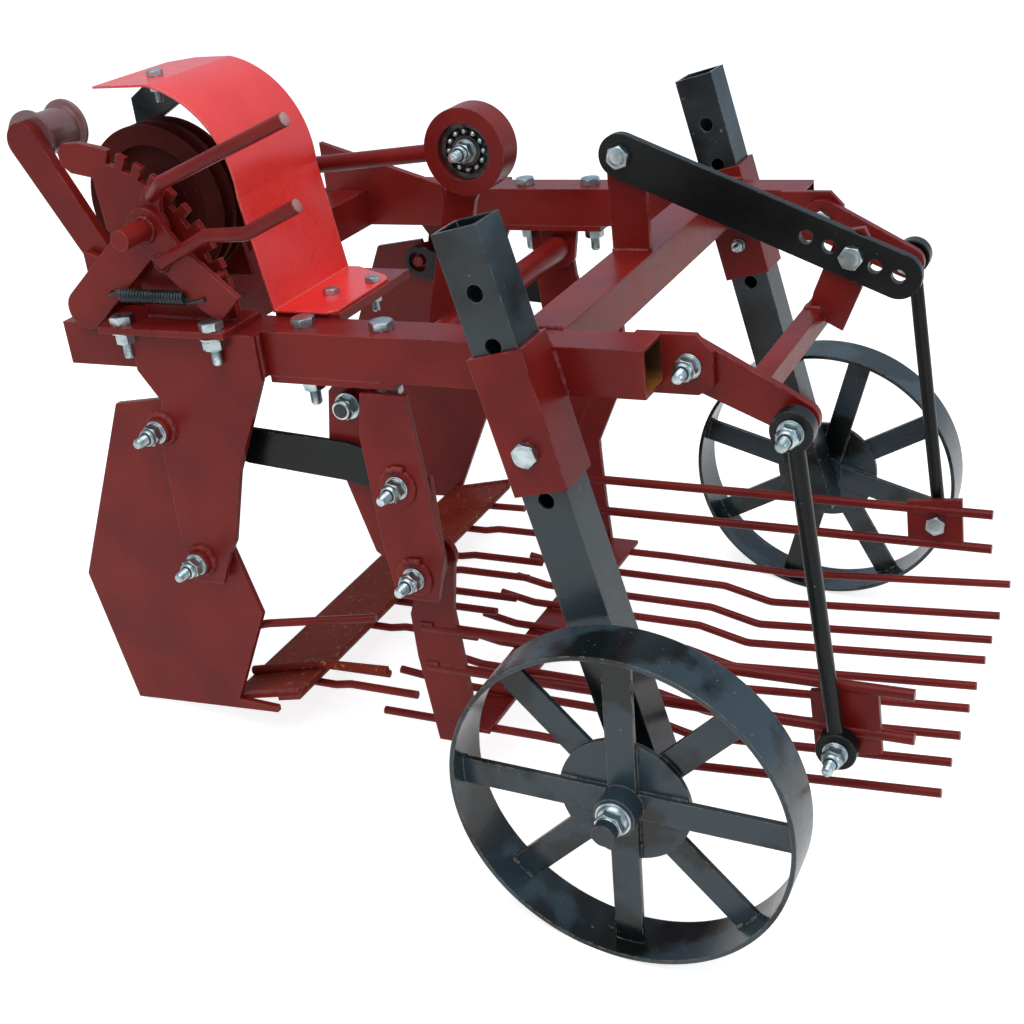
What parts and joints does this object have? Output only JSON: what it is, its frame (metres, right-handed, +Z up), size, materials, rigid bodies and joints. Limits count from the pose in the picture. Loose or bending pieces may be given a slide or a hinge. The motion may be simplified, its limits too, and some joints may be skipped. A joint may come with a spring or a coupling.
{
  "type": "potato digger",
  "caption": "Single-row potato digger for a walk-behind tractor: steel frame on spoked wheels, with a knife between cheeks and a rod sieve, shaken by a belt-driven eccentric.",
  "frame": {"origin": "centre of the footprint of the bounding box, on the ground", "axes": "+X points to the rear of the machine, away from the tractor; +Y to its right; +Z up. The machine is stored as it parks, nose down on both cheeks and both wheels."},
  "size_m": [0.932, 0.76, 0.6388],
  "materials": {
    "maroon_paint": "gloss brushed-on enamel over welded steel",
    "black_paint": "semi-gloss black enamel, scuffed",
    "guard_paint": "high-gloss red enamel on sheet",
    "worn_blade": "speckled paint on hardened blade steel",
    "shaft_steel": "turned steel",
    "bearing_steel": "oiled ball bearing"
  },
  "bodies": {
    "frame": {"left_beam": "maroon_paint", "right_beam": "maroon_paint", "front_cross_tube": "maroon_paint", "rear_cross_tube": "maroon_paint", "hitch_plate": "maroon_paint", "left_post_sleeve": "maroon_paint", "right_post_sleeve": "maroon_paint", "left_arm_bracket": "maroon_paint", "right_arm_bracket": "maroon_paint", "left_rocker_lug": "maroon_paint", "right_rocker_lug": "maroon_paint", "bar_upright": "maroon_paint", "rear_rocker": "maroon_paint", "left_cheek_strap": "maroon_paint", "right_cheek_strap": "maroon_paint", "left_shaft_plate": "maroon_paint", "right_shaft_plate": "maroon_paint", "guard_foot": "maroon_paint", "tension_base": "maroon_paint", "notched_quadrant": "maroon_paint", "roller_arm": "maroon_paint", "pawl_lever": "maroon_paint", "left_wheel_post": "black_paint", "right_wheel_post": "black_paint", "adjusting_bar": "black_paint", "guard_strip": "black_paint", "tension_spring": "black_paint", "belt_guard": "guard_paint"},
    "left_wheel": {"left_wheel": "black_paint"},
    "right_wheel": {"right_wheel": "black_paint"},
    "drive_shaft": {"drive_shaft": "shaft_steel", "drive_pulley": "maroon_paint"},
    "tension_roller": {"tension_roller": "maroon_paint"},
    "swing_frame": {"torsion_tube": "maroon_paint", "left_swing_arm": "maroon_paint", "right_swing_arm": "maroon_paint", "ring_lever": "maroon_paint"},
    "connecting_rod": {"connecting_rod": "maroon_paint", "ring_bearing": "bearing_steel"},
    "knife_rocker": {"left_cheek": "maroon_paint", "right_cheek": "maroon_paint", "knife": "worn_blade", "comb": "maroon_paint"},
    "left_link": {"left_link_strip": "black_paint"},
    "right_link": {"right_link_strip": "black_paint"},
    "sieve": {"sieve_grid": "maroon_paint", "left_sieve_side": "maroon_paint", "right_sieve_side": "maroon_paint"},
    "left_hanger": {"left_rear_rod": "black_paint"},
    "right_hanger": {"right_rear_rod": "black_paint"}
  },
  "joints": [
    {"name": "left_wheel_spin", "type": "hinge", "parent": "frame", "child": "left_wheel", "pos_m": [0.2331, -0.3285, 0.149], "axis": [0, 1, 0], "continuous": true},
    {"name": "right_wheel_spin", "type": "hinge", "parent": "frame", "child": "right_wheel", "pos_m": [0.2331, 0.3285, 0.149], "axis": [0, 1, 0], "continuous": true},
    {"name": "drive_shaft_spin", "type": "hinge", "parent": "frame", "child": "drive_shaft", "pos_m": [-0.32222, -0.027, 0.49962], "axis": [0, 1, 0], "continuous": true},
    {"name": "tension_roller_spin", "type": "hinge", "parent": "frame", "child": "tension_roller", "pos_m": [-0.44053, -0.165, 0.54605], "axis": [0, 1, 0], "continuous": true},
    {"name": "swing", "type": "hinge", "parent": "frame", "child": "swing_frame", "pos_m": [-0.0794, 0, 0.3896], "axis": [0, 1, 0], "range_deg": [-2, 2]},
    {"name": "connecting_rod_pivot", "type": "hinge", "parent": "swing_frame", "child": "connecting_rod", "pos_m": [-0.07526, -0.027, 0.56116], "axis": [0, 1, 0], "range_deg": [-1.9, 1.9]},
    {"name": "knife_rock", "type": "hinge", "parent": "frame", "child": "knife_rocker", "pos_m": [-0.22287, 0, 0.20165], "axis": [0, 1, 0], "range_deg": [-1, 1]},
    {"name": "left_link_pivot", "type": "hinge", "parent": "swing_frame", "child": "left_link", "pos_m": [-0.02306, -0.2375, 0.33181], "axis": [0, 1, 0], "range_deg": [-1.8, 1.8]},
    {"name": "right_link_pivot", "type": "hinge", "parent": "swing_frame", "child": "right_link", "pos_m": [-0.02306, 0.2375, 0.33181], "axis": [0, 1, 0], "range_deg": [-1.8, 1.8]},
    {"name": "sieve_pivot", "type": "hinge", "parent": "swing_frame", "child": "sieve", "pos_m": [-0.00424, 0, 0.24579], "axis": [0, 1, 0], "range_deg": [-2.3, 2.3]},
    {"name": "left_hanger_pivot", "type": "hinge", "parent": "frame", "child": "left_hanger", "pos_m": [0.2975, -0.221, 0.45767], "axis": [0, 1, 0], "range_deg": [-1.1, 1.1]},
    {"name": "right_hanger_pivot", "type": "hinge", "parent": "frame", "child": "right_hanger", "pos_m": [0.2975, 0.221, 0.45767], "axis": [0, 1, 0], "range_deg": [-1.1, 1.1]}
  ],
  "couplings": [
    {"joint": "connecting_rod_pivot", "follows": "swing", "ratio": -0.8622},
    {"joint": "knife_rock", "follows": "swing", "ratio": -0.4527},
    {"joint": "left_link_pivot", "follows": "swing", "ratio": -0.835},
    {"joint": "right_link_pivot", "follows": "swing", "ratio": -0.835},
    {"joint": "sieve_pivot", "follows": "swing", "ratio": -1.0921},
    {"joint": "left_hanger_pivot", "follows": "swing", "ratio": 0.4995},
    {"joint": "right_hanger_pivot", "follows": "swing", "ratio": 0.4995}
  ]
}
